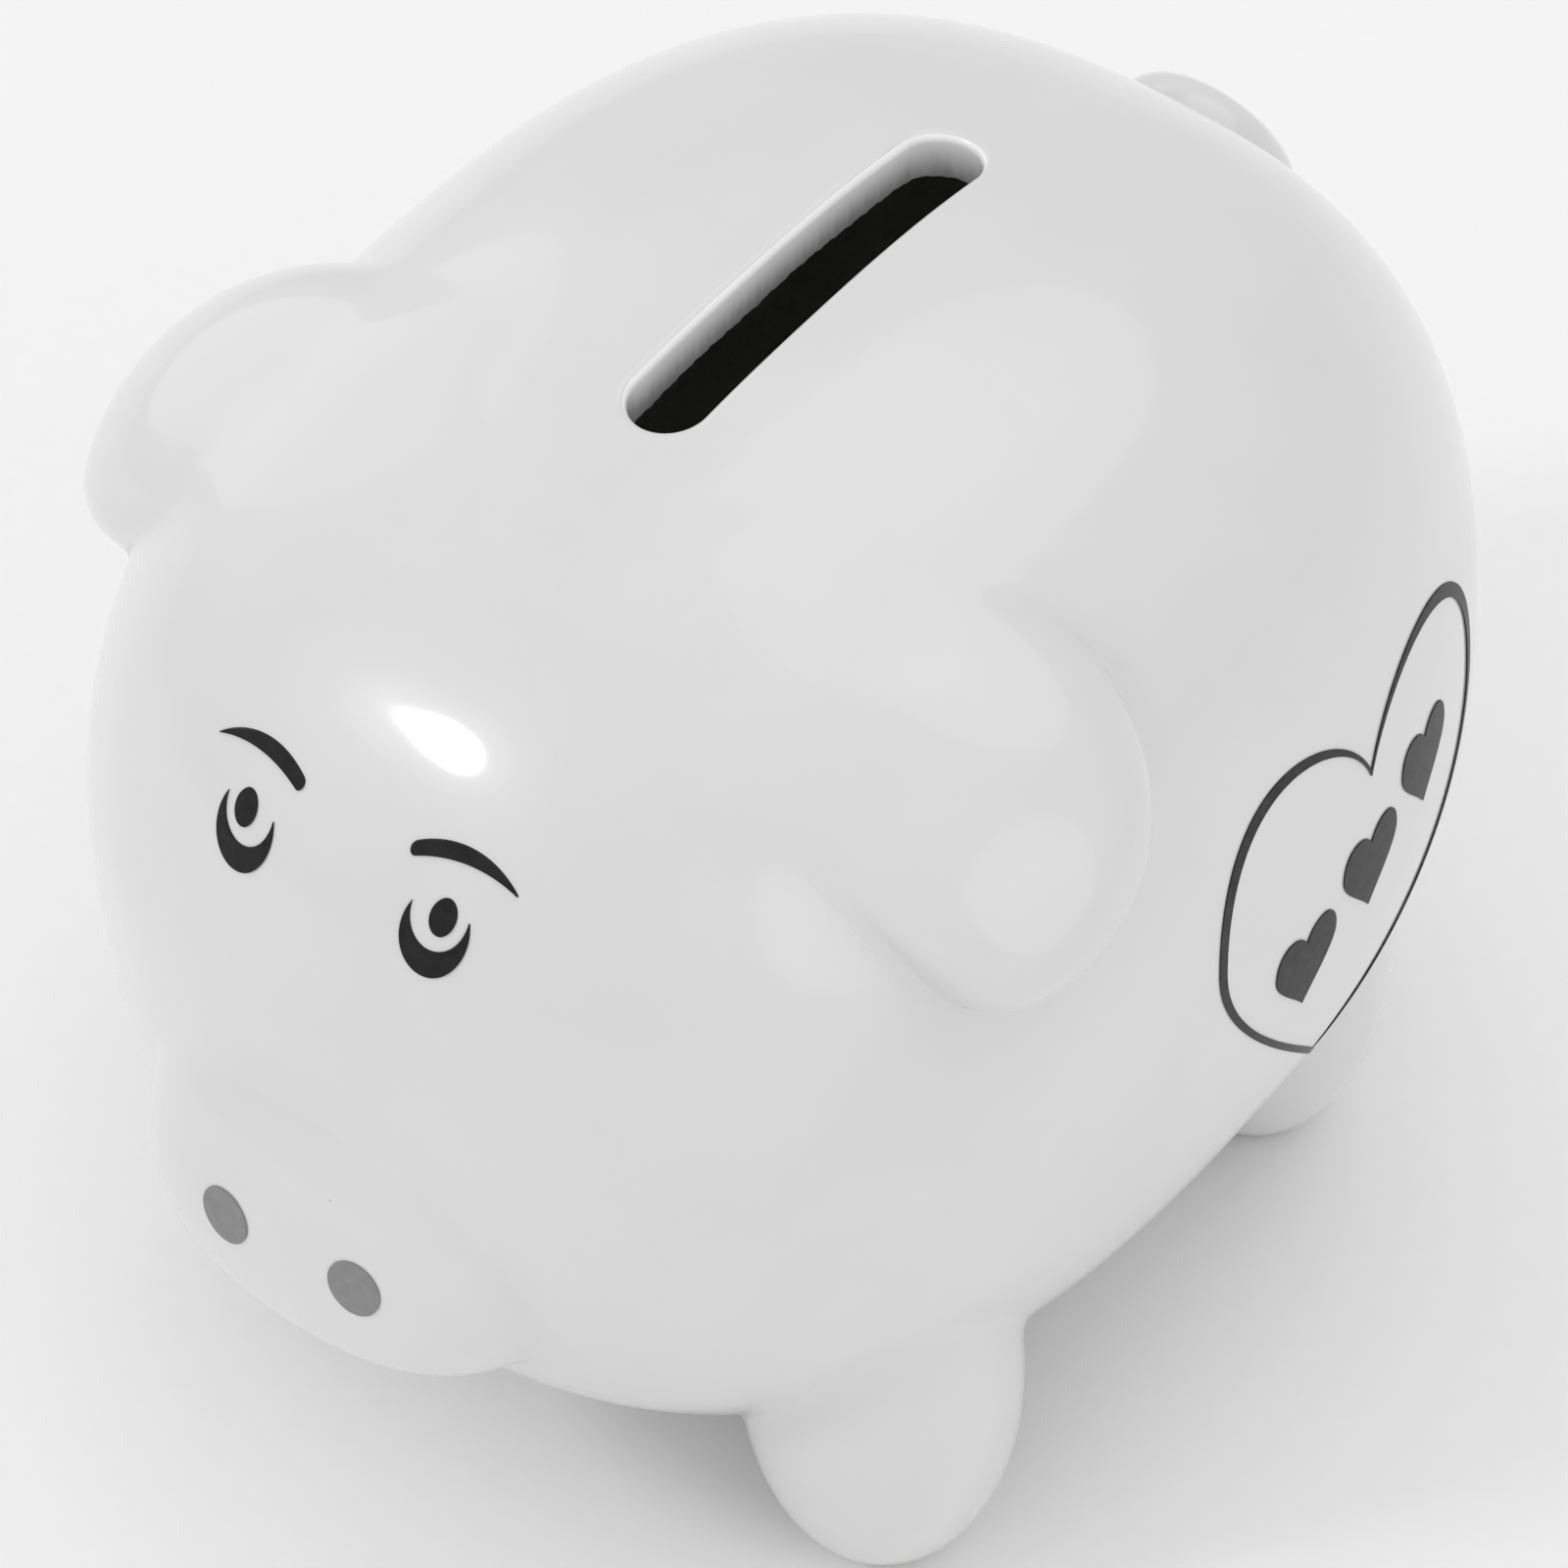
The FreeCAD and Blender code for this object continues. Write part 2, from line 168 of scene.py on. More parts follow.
def off_slot(points):
    """Distance from the rim of the coin slot, in plan."""
    across = points[..., 0] - SLOT_X
    along = np.abs(points[..., 1] - CENTRE[1] - SLOT_BACK) - (SLOT_LENGTH - SLOT_WIDTH) / 2.0
    return np.hypot(across, np.maximum(along, 0.0)) - SLOT_WIDTH / 2.0 - SLOT_RIM


def ear(points):
    """The left ear: a tilted oval flap with its front trimmed flat.  Field, and width of its fillet.

    The fillet is widest towards the crown and narrows again before it reaches the coin slot.
    """
    offset = points - EAR_CENTRE
    flap = egg(offset @ EAR_FRAME, EAR_RADII, 2.0, 2.0)
    front = (points - EAR_FRONT_POINT) @ (EAR_FRONT_NORMAL / length(EAR_FRONT_NORMAL))
    wide = ease(offset @ EAR_TO_CROWN, 0.0, 12.0) * ease(off_slot(points), 1.0, 12.0)
    return smooth_max(flap, front, EAR_FRONT_ROUND), EAR_TIGHT + (EAR_WIDE - EAR_TIGHT) * wide


def snout(points):
    """The snout.  Its fillet is widest over the top and narrows to the sides and below."""
    offset = points - SNOUT_CENTRE
    form = egg(offset @ SNOUT_FRAME, SNOUT_RADII, SNOUT_SECTION, SNOUT_PROFILE)
    wide = ease(offset[..., 2], -2.0, 13.0) * (1.0 - ease(np.abs(offset[..., 0]), 9.0, 21.0))
    return form, SNOUT_TIGHT + (SNOUT_WIDE - SNOUT_TIGHT) * wide


def leg(points, place):
    """A stub leg whose foot is flat on the table."""
    form = egg(points - CENTRE - place, LEG_RADII, 2.0, 2.0)
    return smooth_max(form, -points[..., 2], FOOT_ROUND), LEG_FILLET


def front_leg(points):
    return leg(points, FRONT_LEG)


def rear_leg(points):
    return leg(points, REAR_LEG)


def tail(points):
    offset = (points - TAIL_CENTRE) @ TAIL_FRAME
    ring = np.hypot(offset[..., 0], offset[..., 1]) - TAIL_RING
    return np.hypot(ring, offset[..., 2]) - TAIL_THICKNESS, TAIL_FILLET


def joined(points, form):
    """The skin of body and one piece, and how far past the end of their fillet each point is."""
    body = body_field(points)
    value, width = form(points)
    return smooth_min(body, value, width), value - body - width


def whole_skin(points):
    """The skin of body and all pieces: each raises it by its own amount, so close fillets run together."""
    body = body_field(points)
    skin = body.copy()
    for form in (snout, tail):
        skin -= body - joined(points, form)[0]
    for form in (ear, front_leg, rear_leg):
        for side in (points, points * MIRROR):
            skin -= body - joined(side, form)[0]
    return skin


def gradient(field, points, step=0.02):
    """Slope of the field along each axis, by central differences."""
    slopes = [field(points + axis * step) - field(points - axis * step) for axis in np.eye(3)]
    return np.stack(slopes, -1) / (2.0 * step)


def unit(vectors):
    return vectors / np.maximum(length(vectors), 1e-9)[..., None]


def settle(field, points, rounds=4, reach=0.5):
    """Move points along the gradient onto the zero level of the field."""
    for _ in range(rounds):
        slope = gradient(field, points)
        shift = field(points)[..., None] * slope / np.maximum((slope * slope).sum(-1), 0.05)[..., None]
        size = np.maximum(length(shift), 1e-9)[..., None]
        points = points - shift * np.minimum(1.0, reach / size)
    return points


# ---------------------------------------------------------------- meshes

def make_object(name, points, faces, materials, normals=None):
    """A mesh object from points in millimetres; the normals, if given, are one per point."""
    mesh = bpy.data.meshes.new(name)
    mesh.from_pydata((points * MM).tolist(), [], [list(map(int, face)) for face in faces])
    for material in materials:
        mesh.materials.append(material)
    mesh.polygons.foreach_set("use_smooth", [True] * len(mesh.polygons))
    if normals is not None:
        mesh.normals_split_custom_set_from_vertices(normals.tolist())
    mesh.update()
    piece = bpy.data.objects.new(name, mesh)
    bpy.context.scene.collection.objects.link(piece)
    return piece


def surface_net(field, low, high, step):
    """Quads round the inside of a field, one vertex for each grid cell that the surface crosses."""
    axes = [np.arange(a, b + step, step) for a, b in zip(low, high)]
    grid = np.stack(np.meshgrid(*axes, indexing="ij"), -1)
    value = field(grid)
    inside = value < 0.0
    shape = np.array(value.shape)

    def window(array, corner):
        spans = tuple(slice(c, n - 1 + c) for c, n in zip(corner, shape))
        return array[spans]

    corners = list(product((0, 1), repeat=3))
    filled = sum(window(inside, corner).astype(int) for corner in corners)
    active = (filled > 0) & (filled < 8)
    number = np.full(active.shape, -1)
    number[active] = np.arange(active.sum())
    total = np.zeros((active.sum(), 3))
    count = np.zeros(active.sum())
    quads = []
    for axis in range(3):
        along = np.eye(3, dtype=int)[axis]
        for corner in corners:
            if corner[axis]:
                continue
            near, far = window(value, corner)[active], window(value, np.array(corner) + along)[active]
            crossed = (near < 0.0) != (far < 0.0)
            part = near[crossed] / (near[crossed] - far[crossed])
            total[crossed] += np.array(corner) + part[:, None] * along
            count[crossed] += 1.0
        other = [(axis + 1) % 3, (axis + 2) % 3]
        spans = [slice(1, -1)] * 3
        spans[axis] = slice(0, -1)
        ahead = [slice(1, -1)] * 3
        ahead[axis] = slice(1, None)
        start, end = inside[tuple(spans)], inside[tuple(ahead)]
        for leaving in (True, False):
            edges = np.argwhere((start != end) & (start == leaving))
            cells = []
            for first, second in ((1, 1), (0, 1), (0, 0), (1, 0)):
                cell = edges.copy()
                cell[:, other[0]] += first
                cell[:, other[1]] += second
                cells.append(number[tuple(cell.T)])
            ring = np.stack(cells, -1)
            quads.append(ring if leaving else ring[:, ::-1])
    cells = np.argwhere(active)
    points = np.array(low) + step * (cells + total / count[:, None])
    return points, np.concatenate(quads)


def relax(points, faces, field, rounds=3, move=0.6):
    """Even out the quads by moving each point towards its neighbours, then back onto the field."""
    ends = np.concatenate([faces[:, [k, (k + 1) % 4]] for k in range(4)])
    for _ in range(rounds):
        total = np.zeros_like(points)
        count = np.zeros(len(points))
        np.add.at(total, ends[:, 0], points[ends[:, 1]])
        np.add.at(count, ends[:, 0], 1.0)
        points = points * (1.0 - move) + move * total / np.maximum(count, 1.0)[:, None]
        points = settle(field, points, rounds=2)
    return points


# Depths under the body's skin: where a piece ends, and below which it faces inwards.
SINK = 1.1
BURIED = 0.6 * SINK
# How far a piece's top lies under the joined skin, and how fast it sinks past the fillet's end.
SINK_START, SINK_SLOPE = 0.02, 0.35
NORMAL_STEP = 0.05


def luted_piece(form, low, high, step):
    """The part of a skin that stands off the body, closed just under the body's own surface.

    Its top lies a hair under the skin, so it dives through the body's surface where the fillet has
    almost run out, and past the fillet's end it goes down at a slope.
    """
    def solid(points):
        skin, past = joined(points, form)
        top = skin + SINK_START + SINK_SLOPE * np.maximum(past, 0.0)
        return np.maximum(top, -(body_field(points) + SINK))

    points, faces = surface_net(solid, low, high, step)
    points = relax(points, faces, solid)
    normals = unit(gradient(whole_skin, points, NORMAL_STEP))
    buried = body_field(points) < -BURIED
    normals[buried] = -unit(gradient(body_field, points[buried], NORMAL_STEP))
    return points, faces, normals


# ---------------------------------------------------------------- body shell

AROUND = 288
RIM_RINGS = 8
OUTER_RINGS = 132
INNER_RINGS = 40
OUTSIDE, INSIDE, SLOT_WALL = range(3)


def stadium(grow):
    """Slot outline in plan, widened by grow, anticlockwise from its +X side."""
    radius = SLOT_WIDTH / 2.0
    straight = (SLOT_LENGTH - SLOT_WIDTH) / 2.0
    arc = math.pi * radius
    around = 4.0 * straight + 2.0 * arc
    points = []
    for index in range(AROUND):
        run = around * index / AROUND
        if run < straight or run >= around - straight:
            centre, angle = (run if run < straight else run - around), 0.0
        elif run < straight + arc:
            centre, angle = straight, (run - straight) / radius
        elif run < 3.0 * straight + arc:
            centre, angle = 2.0 * straight + arc - run, math.pi
        else:
            centre, angle = -straight, math.pi + (run - 3.0 * straight - arc) / radius
        outward = np.array([math.cos(angle), math.sin(angle)])
        points.append(np.array([0.0, centre]) + outward * (radius + grow))
    return np.array(points) + [SLOT_X, CENTRE[1] + SLOT_BACK]


def height_at(places, radii, start=0.95, rounds=12):
    """Points on the top of a body-shaped surface at places in the plan, by repeated steps on Z."""
    points = np.column_stack([places, np.full(len(places), CENTRE[2] + radii[2] * start)])
    for _ in range(rounds):
        points[:, 2] -= egg(to_body(points), radii, BODY_POWER, BODY_POWER)
    return points


def on_egg(directions, radii):
    """Points on a body-shaped surface along directions given as fractions of its radii."""
    size = (np.abs(directions) ** BODY_POWER).sum(-1) ** (1.0 / BODY_POWER)
    return from_body(directions / size[:, None] * radii)


def turns():
    """Angles of the points round a ring."""
    return 2.0 * math.pi * np.arange(AROUND) / AROUND


def belly_circle(radius):
    return np.column_stack([radius * np.cos(turns()), radius * np.sin(turns())])


def sweep(start, end, parts, radii):
    """Rings from a loop near the top, over the widest part, to a loop near the bottom."""
    begin = unit(to_body(start) / radii)
    finish = unit(to_body(end) / radii)
    middle = np.column_stack([belly_circle(1.0), np.zeros(AROUND)])
    rings = []
    for part in parts:
        first, second = (begin, middle) if part < 0.5 else (middle, finish)
        blend = part * 2.0 if part < 0.5 else part * 2.0 - 1.0
        angle = np.arccos(np.clip((first * second).sum(-1), -1.0, 1.0))[:, None]
        mixed = np.sin((1.0 - blend) * angle) * first + np.sin(blend * angle) * second
        rings.append(on_egg(mixed / np.sin(angle), radii))
    return rings


def belly_ring(radius, depth):
    """A circle about the belly hole's axis at a depth, or a list of depths, below the body's centre."""
    return from_body(np.column_stack([belly_circle(radius), -depth * np.ones(AROUND)]))


def belly_depth(radius, radii):
    """How far below the centre each point of such a circle meets a body-shaped surface."""
    rest = 1.0 - (np.abs(belly_circle(radius) / radii[:2]) ** BODY_POWER).sum(-1)
    return radii[2] * rest ** (1.0 / BODY_POWER)


def ragged(turn):
    """An uneven edge, repeating once round the ring."""
    teeth = np.sin(61.0 * turn + 2.0 * np.sin(5.0 * turn)) * np.sin(23.0 * turn + 1.3)
    return teeth + 0.5 * np.sin(7.0 * turn)


def shell_rings():
    """The closed skin as rings, from the slot's rim over the outside, in by the belly hole and up inside.

    Also gives the rings at which the belly hole starts and the bare inside starts and ends.
    """
    inner = BODY_RADII - WALL
    rings = []
    for angle in np.linspace(math.pi / 2.0, 0.0, RIM_RINGS):
        ring = height_at(stadium(SLOT_RIM * (1.0 - math.sin(angle))), BODY_RADII)
        ring[:, 2] -= SLOT_RIM * (1.0 - math.cos(angle))
        rings.append(ring)
    seat_top = belly_depth(SEAT_RADIUS, BODY_RADII)
    outer_end = belly_ring(SEAT_RADIUS + SEAT_EDGE, belly_depth(SEAT_RADIUS + SEAT_EDGE, BODY_RADII))
    rings += sweep(rings[-1], outer_end, np.arange(1, OUTER_RINGS) / OUTER_RINGS, BODY_RADII)
    rings.append(outer_end)
    hole_start = len(rings)
    seat_wall = seat_top - SEAT_LEVEL
    rings.append(belly_ring(SEAT_RADIUS, SEAT_LEVEL + 0.7 * seat_wall))
    rings.append(belly_ring(SEAT_RADIUS - SEAT_DRAFT, SEAT_LEVEL + 0.15 * seat_wall))
    rings.append(belly_ring(SEAT_RADIUS - SEAT_EDGE, SEAT_LEVEL))
    rings.append(belly_ring(HOLE_RADIUS + HOLE_EDGE, SEAT_LEVEL))
    rings.append(belly_ring(HOLE_RADIUS, SEAT_LEVEL - HOLE_EDGE))
    inside_start = len(rings)
    hole_top = belly_depth(HOLE_RADIUS + INSIDE_EDGE, inner)
    rings.append(belly_ring(HOLE_RADIUS, hole_top + INSIDE_EDGE))
    inner_end = belly_ring(HOLE_RADIUS + INSIDE_EDGE, hole_top)
    rings.append(inner_end)
    inner_start = height_at(stadium(SLOT_FLARE), inner)
    rings += sweep(inner_start, inner_end, np.arange(1, INNER_RINGS)[::-1] / INNER_RINGS, inner)
    rings.append(inner_start)
    inside_end = len(rings)
    lip = height_at(stadium(LIP_GROW), inner)
    lip[:, 2] += LIP_LEVEL + LIP_RAGGED * ragged(turns())
    rings.append(lip)
    return rings, hole_start, inside_start, inside_end


def make_shell():
    """The body shell, whose outside takes its normals from the whole skin."""
    rings, hole_start, inside_start, inside_end = shell_rings()
    points = np.concatenate(rings)
    faces, slots = [], []
    for row in range(len(rings)):
        below = (row + 1) % len(rings)
        finish = OUTSIDE
        if inside_start <= row + 1 < inside_end:
            finish = INSIDE
        elif row >= inside_end - 1 or row < RIM_RINGS // 2:
            finish = SLOT_WALL
        for column in range(AROUND):
            after = (column + 1) % AROUND
            faces.append((below * AROUND + column, below * AROUND + after,
                          row * AROUND + after, row * AROUND + column))
            slots.append(finish)
    # The third material is painted light: the slot walls and the top of the slot's rim are coloured near
    # white so they look lit.
    piece = make_object("ceramic_body", points, faces, [glaze, biscuit, glaze_painted_light])
    piece.data.polygons.foreach_set("material_index", slots)
    normals = np.array([vertex.normal[:] for vertex in piece.data.vertices])
    shown = slice((RIM_RINGS - 1) * AROUND, hole_start * AROUND)
    normals[shown] = unit(gradient(whole_skin, points[shown], NORMAL_STEP))
    piece.data.normals_split_custom_set_from_vertices(normals.tolist())
    return piece


# ---------------------------------------------------------------- materials

def new_material(name, color, roughness):
    """A principled material and its shader."""
    material = bpy.data.materials.new(name)
    material.use_nodes = True
    shader = material.node_tree.nodes["Principled BSDF"]
    shader.inputs["Base Color"].default_value = (*color, 1.0)
    shader.inputs["Roughness"].default_value = roughness
    return material, shader


def node(material, kind, **inputs):
    """Adds a node; its inputs are values or other nodes' outputs."""
    made = material.node_tree.nodes.new(kind)
    for name, value in inputs.items():
        socket = made.inputs[name.replace("_", " ")]
        if isinstance(value, bpy.types.NodeSocket):
            material.node_tree.links.new(value, socket)
        else:
            socket.default_value = value
    return made


def ramp(material, factor, stops):
    """A colour ramp of grey or coloured stops, each (position, colour)."""
    made = node(material, "ShaderNodeValToRGB", Fac=factor)
    elements = made.color_ramp.elements
    elements[0].position, elements[0].color = stops[0][0], (*stops[0][1], 1.0)
    elements[1].position, elements[1].color = stops[-1][0], (*stops[-1][1], 1.0)
    for position, color in stops[1:-1]:
        elements.new(position).color = (*color, 1.0)
    return made.outputs["Color"]


def place(material):
    """Where a point is on the object, in metres."""
    return node(material, "ShaderNodeTexCoord").outputs["Object"]


def mix(material, factor, first, second):
    """Colour first where the factor is 0, and the fixed colour second where it is 1."""
    made = material.node_tree.nodes.new("ShaderNodeMix")
    made.data_type = "RGBA"
    link(material, factor, made.inputs[0])
    link(material, first, made.inputs[6])
    made.inputs[7].default_value = second
    return made.outputs[2]


def arithmetic(material, operation, *values):
    """A math node's result; the values are outputs or plain numbers."""
    made = material.node_tree.nodes.new("ShaderNodeMath")
    made.operation = operation
    for socket, value in zip(made.inputs, values):
        if isinstance(value, bpy.types.NodeSocket):
            link(material, value, socket)
        else:
            socket.default_value = value
    return made.outputs[0]


def bump(material, height, strength, distance):
    made = node(material, "ShaderNodeBump", Height=height, Strength=strength, Distance=distance)
    return made.outputs["Normal"]


def link(material, output, socket):
    material.node_tree.links.new(output, socket)


def glaze_material():
    """White body under clear gloss glaze: slow ripples, faint mottling, and a few tiny dark specks."""
    material, shader = new_material("glaze_white", (0.70, 0.70, 0.70), 0.30)
    spot = place(material)
    mottle = node(material, "ShaderNodeTexNoise", Vector=spot, Scale=55.0, Detail=3.0)
    tone = ramp(material, mottle.outputs["Fac"], [(0.3, (0.69,) * 3), (0.7, (0.715,) * 3)])
    cells = node(material, "ShaderNodeTexVoronoi", Vector=spot, Scale=95.0, Randomness=1.0)
    size = node(material, "ShaderNodeTexNoise", Vector=spot, Scale=160.0, Detail=0.0)
    spread = ramp(material, size.outputs["Fac"], [(0.55, (0.02,) * 3), (0.75, (1.0,) * 3)])
    distance = arithmetic(material, "DIVIDE", cells.outputs["Distance"], spread)
    speck = ramp(material, distance, [(0.022, (1.0,) * 3), (0.034, (0.0,) * 3)])
    link(material, mix(material, speck, tone, (0.30, 0.29, 0.28, 1.0)), shader.inputs["Base Color"])
    shader.inputs["Coat Weight"].default_value = 1.0
    shader.inputs["Coat Roughness"].default_value = 0.075
    shader.inputs["Coat IOR"].default_value = 1.5
    ripple = node(material, "ShaderNodeTexNoise", Vector=spot, Scale=70.0, Detail=1.5)
    link(material, bump(material, ripple.outputs["Fac"], 0.10, 0.0006), shader.inputs["Coat Normal"])
    return material


def painted_light_slot_material(base):
    """The glaze on the walls of the coin slot, painted near white: painted light, standing in for the light
    that reaches the walls from above where the slot's own shade would darken them.
    """
    material = base.copy()
    material.name = "glaze_white_painted_light"
    shader = material.node_tree.nodes["Principled BSDF"]
    wall_light_noise = node(material, "ShaderNodeTexNoise", Vector=place(material), Scale=150.0, Detail=2.0)
    # Painted light: a near-white tone, brighter than the glaze elsewhere, so the slot walls look lit.
    tone = ramp(material, wall_light_noise.outputs["Fac"], [(0.3, (0.93,) * 3), (0.7, (0.96,) * 3)])
    link(material, tone, shader.inputs["Base Color"])
    return material


def biscuit_material():
    """Bare fired clay inside the shell, dusty and rough."""
    material, shader = new_material("biscuit_clay", (0.55, 0.54, 0.52), 0.92)
    spot = place(material)
    cloud = node(material, "ShaderNodeTexNoise", Vector=spot, Scale=120.0, Detail=6.0)
    tone = ramp(material, cloud.outputs["Fac"], [(0.3, (0.50, 0.49, 0.47)), (0.7, (0.60, 0.59, 0.57))])
    link(material, tone, shader.inputs["Base Color"])
    grit = node(material, "ShaderNodeTexNoise", Vector=spot, Scale=2600.0, Detail=4.0)
    link(material, bump(material, grit.outputs["Fac"], 0.5, 0.0002), shader.inputs["Normal"])
    return material


WIPED_HEIGHT = 0.001


def foot_material(base):
    """The glaze, wiped off the flat underside where the foot stands in the kiln."""
    material = base.copy()
    material.name = "glaze_white_foot"
    shader = material.node_tree.nodes["Principled BSDF"]
    height = node(material, "ShaderNodeSeparateXYZ", Vector=place(material))
    wobble = node(material, "ShaderNodeTexNoise", Vector=place(material), Scale=260.0, Detail=2.0)
    level = arithmetic(material, "MULTIPLY_ADD", wobble.outputs["Fac"], -WIPED_HEIGHT, height.outputs["Z"])
    level_mm = arithmetic(material, "MULTIPLY", level, 1.0 / MM)
    bare = ramp(material, level_mm, [(0.0, (1.0,) * 3), (0.12, (0.0,) * 3)])
    glazed = shader.inputs["Base Color"].links[0].from_socket
    link(material, mix(material, bare, glazed, (0.66, 0.64, 0.60, 1.0)), shader.inputs["Base Color"])
    link(material, ramp(material, bare, [(0.0, (1.0,) * 3), (1.0, (0.0,) * 3)]), shader.inputs["Coat Weight"])
    link(material, ramp(material, bare, [(0.0, (0.3,) * 3), (1.0, (0.9,) * 3)]), shader.inputs["Roughness"])
    return material


def ink_material(name, dark, light, roughness):
    """Ceramic transfer ink, fired into the glaze: slightly uneven tone and a softer gloss than the glaze."""
    material, shader = new_material(name, dark, roughness)
    spot = place(material)
    cloud = node(material, "ShaderNodeTexNoise", Vector=spot, Scale=900.0, Detail=4.0)
    tone = ramp(material, cloud.outputs["Fac"], [(0.35, dark), (0.75, light)])
    link(material, tone, shader.inputs["Base Color"])
    shader.inputs["Specular IOR Level"].default_value = 0.2
    grain = node(material, "ShaderNodeTexNoise", Vector=spot, Scale=3500.0, Detail=3.0)
    link(material, bump(material, grain.outputs["Fac"], 0.25, 0.00005), shader.inputs["Normal"])
    return material


def rubber_material():
    """Moulded rubber: fine matt grain, dust in it, and a gloss that varies patchily with the dust."""
    material, shader = new_material("stopper_rubber", (0.045, 0.045, 0.048), 0.62)
    spot = place(material)
    dust = node(material, "ShaderNodeTexNoise", Vector=spot, Scale=350.0, Detail=8.0, Roughness=0.65)
    tone = ramp(material, dust.outputs["Fac"], [(0.35, (0.030, 0.030, 0.032)), (0.72, (0.075, 0.075, 0.078))])
    link(material, tone, shader.inputs["Base Color"])
    sheen = ramp(material, dust.outputs["Fac"], [(0.35, (0.55,) * 3), (0.7, (0.75,) * 3)])
    link(material, sheen, shader.inputs["Roughness"])
    grain = node(material, "ShaderNodeTexNoise", Vector=spot, Scale=5200.0, Detail=2.0)
    link(material, bump(material, grain.outputs["Fac"], 0.35, 0.0001), shader.inputs["Normal"])
    return material


# ---------------------------------------------------------------- build

glaze = glaze_material()
glaze_foot = foot_material(glaze)
# Painted light: the slot walls and the top of the slot's rim get a near-white glaze colour so they look lit
# from above.
glaze_painted_light = painted_light_slot_material(glaze)
biscuit = biscuit_material()

shell = make_shell()
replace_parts(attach(shell, BANK), "body_shell")


def luted(names, form, low, high, material):
    """One piece, or a left and right pair, riding on the bank in place of its CAD solids.

    The corners low and high bound the space that the piece and its sunken edge take up.
    """
    points, faces, normals = luted_piece(form, low, high, FINE)
    for name, side in zip(names, (np.ones(3), MIRROR)):
        wound = faces if side[0] > 0.0 else faces[:, ::-1]
        piece = make_object("ceramic_" + name, points * side, wound, [material], normals * side)
        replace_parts(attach(piece, BANK), name)


luted(["ear_left", "ear_right"], ear,
      EAR_CENTRE - [37.0, 33.0, 30.0], EAR_CENTRE + [27.0, 36.0, 29.0], glaze)
luted(["snout"], snout, SNOUT_CENTRE - [38.0, 23.0, 26.0], SNOUT_CENTRE + [38.0, 32.0, 38.0], glaze)
for end, form, spot in (("front", front_leg, FRONT_LEG), ("rear", rear_leg, REAR_LEG)):
    x, y, _ = CENTRE + spot
    luted([f"leg_{end}_left", f"leg_{end}_right"], form,
          np.array([x - LEG_REACH, y - LEG_REACH, -0.7]),
          np.array([x + LEG_REACH, y + LEG_REACH, LEG_TOP]), glaze_foot)
luted(["tail"], tail, TAIL_CENTRE - [17.0, 18.0, 18.0], TAIL_CENTRE + [17.0, 12.0, 18.0], glaze)

INKS = {
    "black_print": ink_material("ink_black", (0.008,) * 3, (0.016,) * 3, 0.35),
    "dark_print": ink_material("ink_dark", (0.015,) * 3, (0.035,) * 3, 0.35),
    "grey_print": ink_material("ink_grey", (0.23,) * 3, (0.27,) * 3, 0.4),
    "stopper_rubber": rubber_material(),
}
PRINTED = {
    "black_print": ["eye_rim_left", "eye_rim_right", "pupil_left", "pupil_right", "brow_left", "brow_right"],
    "grey_print": ["nostril_left", "nostril_right"],
    "dark_print": ["heart_outline", "small_hearts"],
    "stopper_rubber": ["belly_stopper"],
}
for finish, names in PRINTED.items():
    for name in names:
        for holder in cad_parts[name].material_slots:
            holder.material = INKS[finish]


# ---------------------------------------------------------------- stage, light, camera

def backdrop():
    """A pale floor that curves up into a wall behind the pig, as one sheet.  Metres."""
    reach, wall_foot, rise, bend, steps = 3.0, 1.2, 2.2, 0.8, 12
    profile = [(-reach, 0.0), (wall_foot, 0.0)]
    for step in range(1, steps + 1):
        angle = math.pi / 2.0 * step / steps
        profile.append((wall_foot + bend * math.sin(angle), bend * (1.0 - math.cos(angle))))
    profile.append((wall_foot + bend, rise))
    points, faces = [], []
    for back, up in profile:
        points += [(-reach, back, up), (reach, back, up)]
    for row in range(len(profile) - 1):
        faces.append((2 * row, 2 * row + 1, 2 * row + 3, 2 * row + 2))
    mesh = bpy.data.meshes.new("studio_floor")
    mesh.from_pydata(points, [], faces)
    mesh.polygons.foreach_set("use_smooth", [True] * len(faces))
    sheet = bpy.data.objects.new("studio_floor", mesh)
    bpy.context.scene.collection.objects.link(sheet)
    material, shader = new_material("studio_paper", (0.93, 0.93, 0.93), 0.9)
    fibre = node(material, "ShaderNodeTexNoise", Vector=place(material), Scale=400.0, Detail=4.0)
    tone = ramp(material, fibre.outputs["Fac"], [(0.3, (0.925,) * 3), (0.7, (0.935,) * 3)])
    link(material, tone, shader.inputs["Base Color"])
    shader.inputs["Specular IOR Level"].default_value = 0.1
    mesh.materials.append(material)


def aim(thing, spot, target):
    """Point an object's -Z axis at a target."""
    thing.location = spot
    thing.rotation_euler = (Vector(target) - Vector(spot)).to_track_quat("-Z", "Y").to_euler()


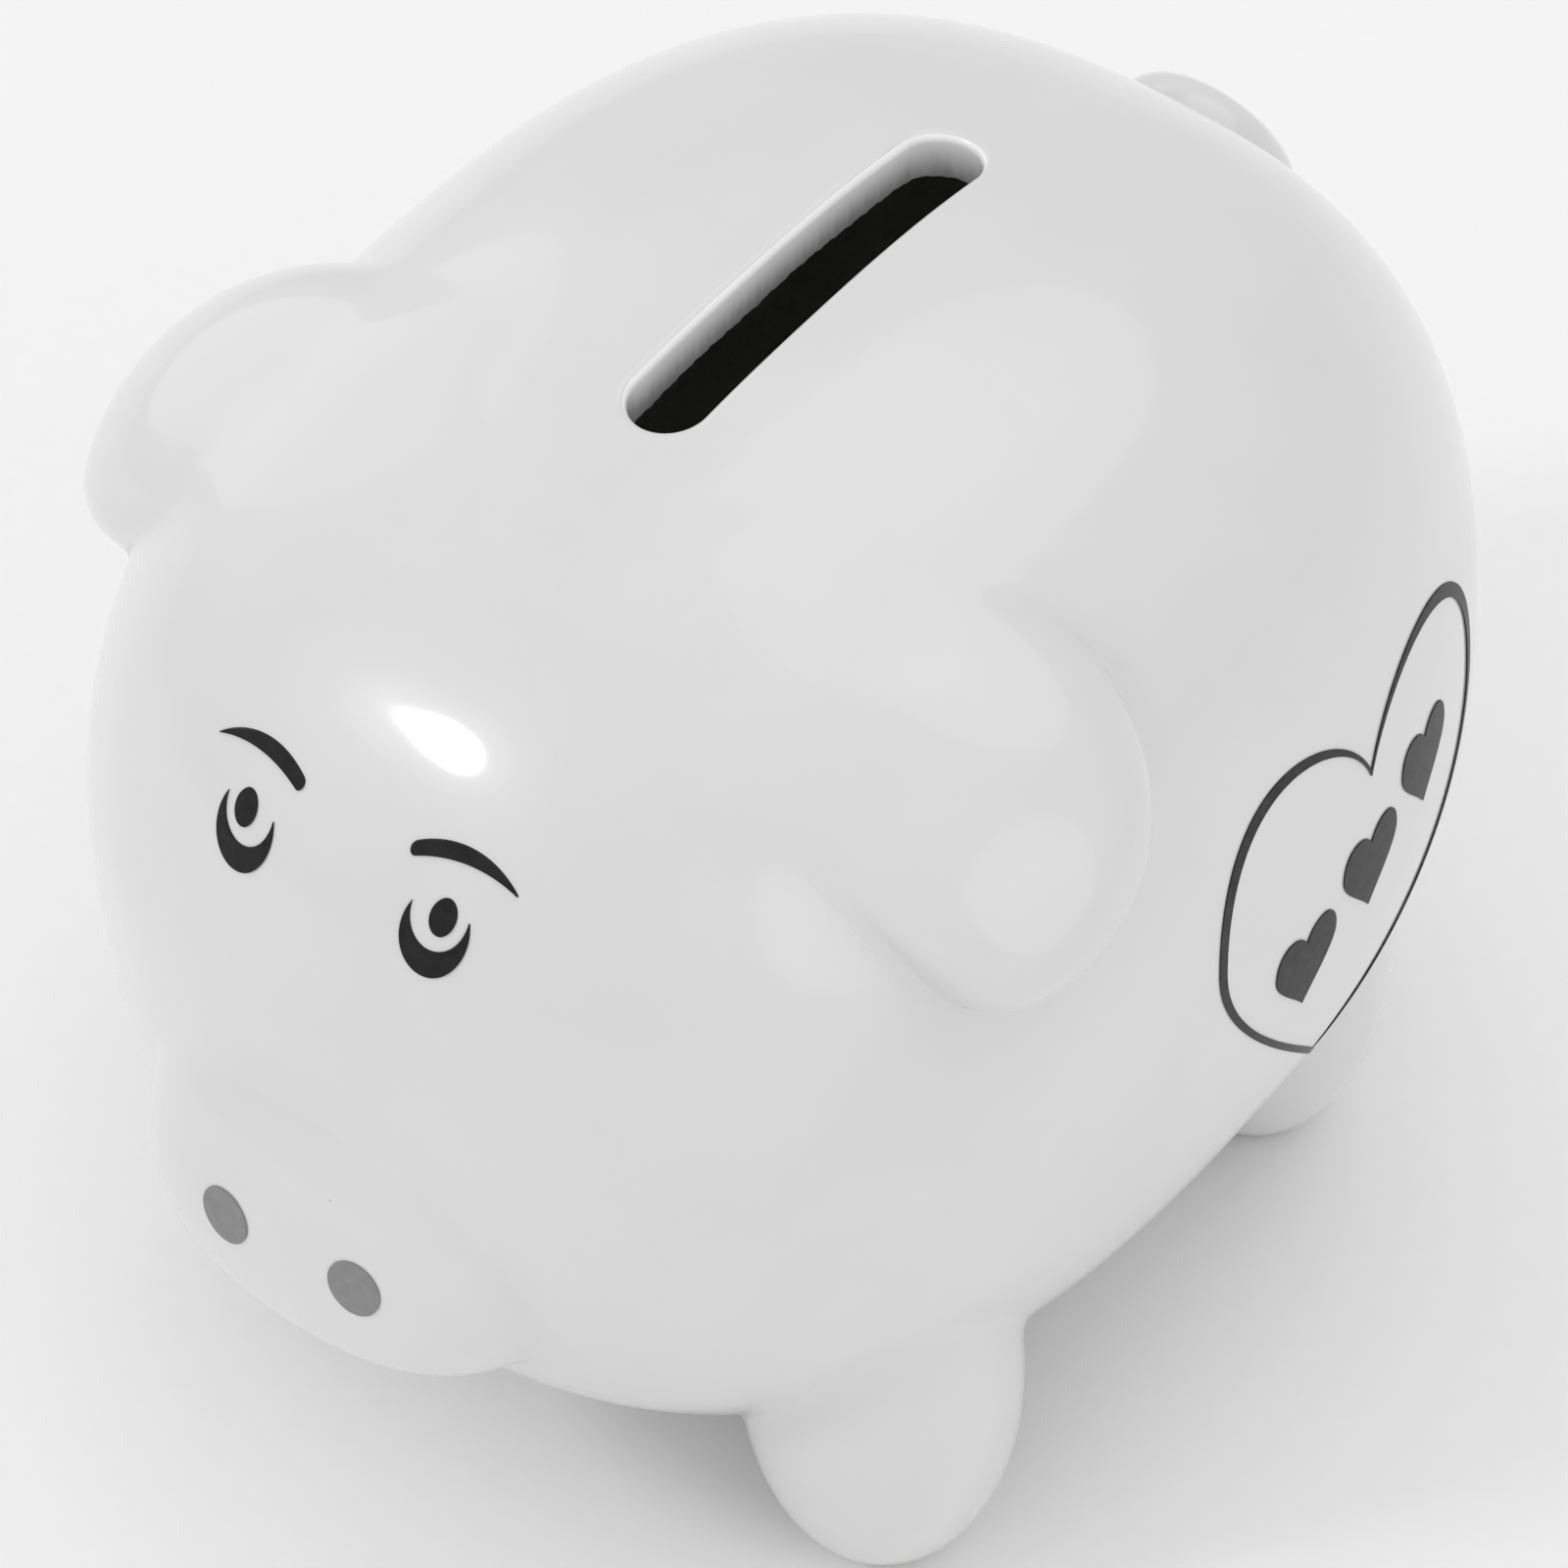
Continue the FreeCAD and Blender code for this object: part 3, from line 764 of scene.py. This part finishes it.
def softbox(name, direction, distance, size, power):
    """An oval light that faces the pig from a direction and distance."""
    lamp = bpy.data.lights.new(name, "AREA")
    lamp.shape = "ELLIPSE"
    lamp.size, lamp.size_y = size
    lamp.energy = power
    holder = bpy.data.objects.new(name, lamp)
    bpy.context.scene.collection.objects.link(holder)
    target = CENTRE * MM
    aim(holder, target + unit(np.array(direction)) * distance, target)


def make_camera():
    """Above the pig's left front, with a long lens, tilted slightly."""
    azimuth, elevation, roll = math.radians(40.0), math.radians(43.8), math.radians(-2.0)
    back = np.array([math.sin(azimuth) * math.cos(elevation), -math.cos(azimuth) * math.cos(elevation),
                     math.sin(elevation)])
    right = np.array([math.cos(azimuth), math.sin(azimuth), 0.0])
    up = np.cross(back, right)
    across = right * math.cos(roll) + up * math.sin(roll)
    upward = up * math.cos(roll) - right * math.sin(roll)
    lens = bpy.data.cameras.new("camera")
    lens.sensor_width = 36.0
    lens.lens = 168.5
    lens.clip_start, lens.clip_end = 0.01, 50.0
    camera = bpy.data.objects.new("camera", lens)
    bpy.context.scene.collection.objects.link(camera)
    target, distance = np.array([18.0, -21.6, 75.0]), 614.0
    spot = (target + back * distance) * MM
    matrix = np.eye(4)
    matrix[:3, 0], matrix[:3, 1], matrix[:3, 2], matrix[:3, 3] = across, upward, back, spot
    camera.matrix_world = Matrix(matrix.tolist())
    bpy.context.scene.camera = camera


backdrop()
softbox("key", (-0.41, -0.62, 0.66), 1.1, (0.19, 0.15), 1.6)
softbox("fill_left", (0.95, -0.25, 0.45), 1.4, (1.2, 1.4), 2.2)
softbox("fill_top", (0.1, 0.35, 1.0), 1.5, (1.4, 1.4), 2.6)
softbox("fill_right", (-1.0, 0.2, 0.5), 1.5, (1.0, 1.4), 1.4)
world = bpy.data.worlds.new("studio")
world.use_nodes = True
world.node_tree.nodes["Background"].inputs["Color"].default_value = (1.0, 1.0, 1.0, 1.0)
world.node_tree.nodes["Background"].inputs["Strength"].default_value = 0.76
bpy.context.scene.world = world
bpy.context.scene.view_settings.view_transform = "Standard"
make_camera()
